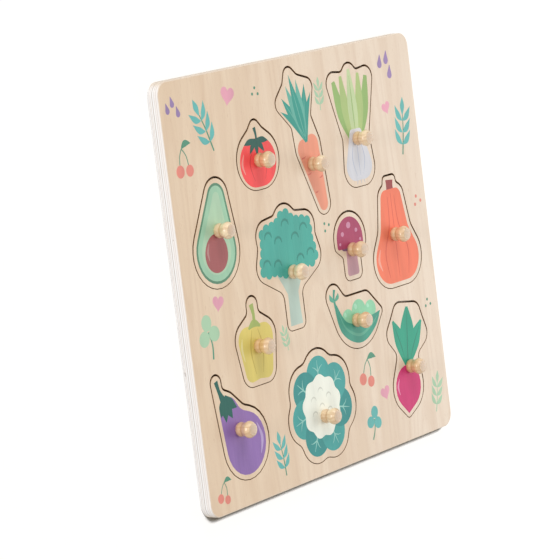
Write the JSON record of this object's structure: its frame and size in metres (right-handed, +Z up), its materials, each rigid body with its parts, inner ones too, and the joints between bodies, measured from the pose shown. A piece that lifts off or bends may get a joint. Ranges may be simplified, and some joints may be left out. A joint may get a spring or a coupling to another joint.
{
  "type": "wooden inset puzzle",
  "caption": "Square plywood peg puzzle: a two-sheet board with vegetable-shaped recesses, and a flush inset piece in each that lifts out by a turned wooden peg.",
  "frame": {"origin": "centre of the board's underside, where it lies on a table", "axes": "+Z up out of the picture face, +Y towards the top edge of the picture, +X towards its right edge"},
  "size_m": [0.3, 0.3, 0.0214],
  "materials": {
    "back_sheet": "plain birch plywood, sanded, clear matt lacquer",
    "front_sheet": "pale birch plywood, sanded, matt, with brown laser-cut edges",
    "turned_peg": "turned pale hardwood, fine sanded, bare",
    "tomato_print": "plywood with matt red print",
    "carrot_print": "plywood with matt coral print",
    "spring_onion_print": "plywood with matt light green print",
    "avocado_print": "plywood with matt mint print",
    "broccoli_print": "plywood with matt teal print",
    "mushroom_print": "plywood with matt plum print",
    "squash_print": "plywood with matt orange print",
    "pepper_print": "plywood with matt yellow print",
    "pea_pod_print": "plywood with matt green print",
    "radish_print": "plywood with matt magenta print",
    "aubergine_print": "plywood with matt purple print",
    "cauliflower_print": "plywood with matt off-white print"
  },
  "bodies": {
    "board": {"back_panel": "back_sheet", "front_panel": "front_sheet"},
    "tomato": {"tomato_piece": "tomato_print", "tomato_peg": "turned_peg"},
    "carrot": {"carrot_piece": "carrot_print", "carrot_peg": "turned_peg"},
    "spring_onion": {"spring_onion_piece": "spring_onion_print", "spring_onion_peg": "turned_peg"},
    "avocado": {"avocado_piece": "avocado_print", "avocado_peg": "turned_peg"},
    "broccoli": {"broccoli_piece": "broccoli_print", "broccoli_peg": "turned_peg"},
    "mushroom": {"mushroom_piece": "mushroom_print", "mushroom_peg": "turned_peg"},
    "squash": {"squash_piece": "squash_print", "squash_peg": "turned_peg"},
    "pepper": {"pepper_piece": "pepper_print", "pepper_peg": "turned_peg"},
    "pea_pod": {"pea_pod_piece": "pea_pod_print", "pea_pod_peg": "turned_peg"},
    "radish": {"radish_piece": "radish_print", "radish_peg": "turned_peg"},
    "aubergine": {"aubergine_piece": "aubergine_print", "aubergine_peg": "turned_peg"},
    "cauliflower": {"cauliflower_piece": "cauliflower_print", "cauliflower_peg": "turned_peg"}
  },
  "joints": [
    {"name": "tomato_lift", "type": "slide", "parent": "board", "child": "tomato", "axis": [0, 0, 1], "range_m": [0, 0.03]},
    {"name": "carrot_lift", "type": "slide", "parent": "board", "child": "carrot", "axis": [0, 0, 1], "range_m": [0, 0.03]},
    {"name": "spring_onion_lift", "type": "slide", "parent": "board", "child": "spring_onion", "axis": [0, 0, 1], "range_m": [0, 0.03]},
    {"name": "avocado_lift", "type": "slide", "parent": "board", "child": "avocado", "axis": [0, 0, 1], "range_m": [0, 0.03]},
    {"name": "broccoli_lift", "type": "slide", "parent": "board", "child": "broccoli", "axis": [0, 0, 1], "range_m": [0, 0.03]},
    {"name": "mushroom_lift", "type": "slide", "parent": "board", "child": "mushroom", "axis": [0, 0, 1], "range_m": [0, 0.03]},
    {"name": "squash_lift", "type": "slide", "parent": "board", "child": "squash", "axis": [0, 0, 1], "range_m": [0, 0.03]},
    {"name": "pepper_lift", "type": "slide", "parent": "board", "child": "pepper", "axis": [0, 0, 1], "range_m": [0, 0.03]},
    {"name": "pea_pod_lift", "type": "slide", "parent": "board", "child": "pea_pod", "axis": [0, 0, 1], "range_m": [0, 0.03]},
    {"name": "radish_lift", "type": "slide", "parent": "board", "child": "radish", "axis": [0, 0, 1], "range_m": [0, 0.03]},
    {"name": "aubergine_lift", "type": "slide", "parent": "board", "child": "aubergine", "axis": [0, 0, 1], "range_m": [0, 0.03]},
    {"name": "cauliflower_lift", "type": "slide", "parent": "board", "child": "cauliflower", "axis": [0, 0, 1], "range_m": [0, 0.03]}
  ]
}
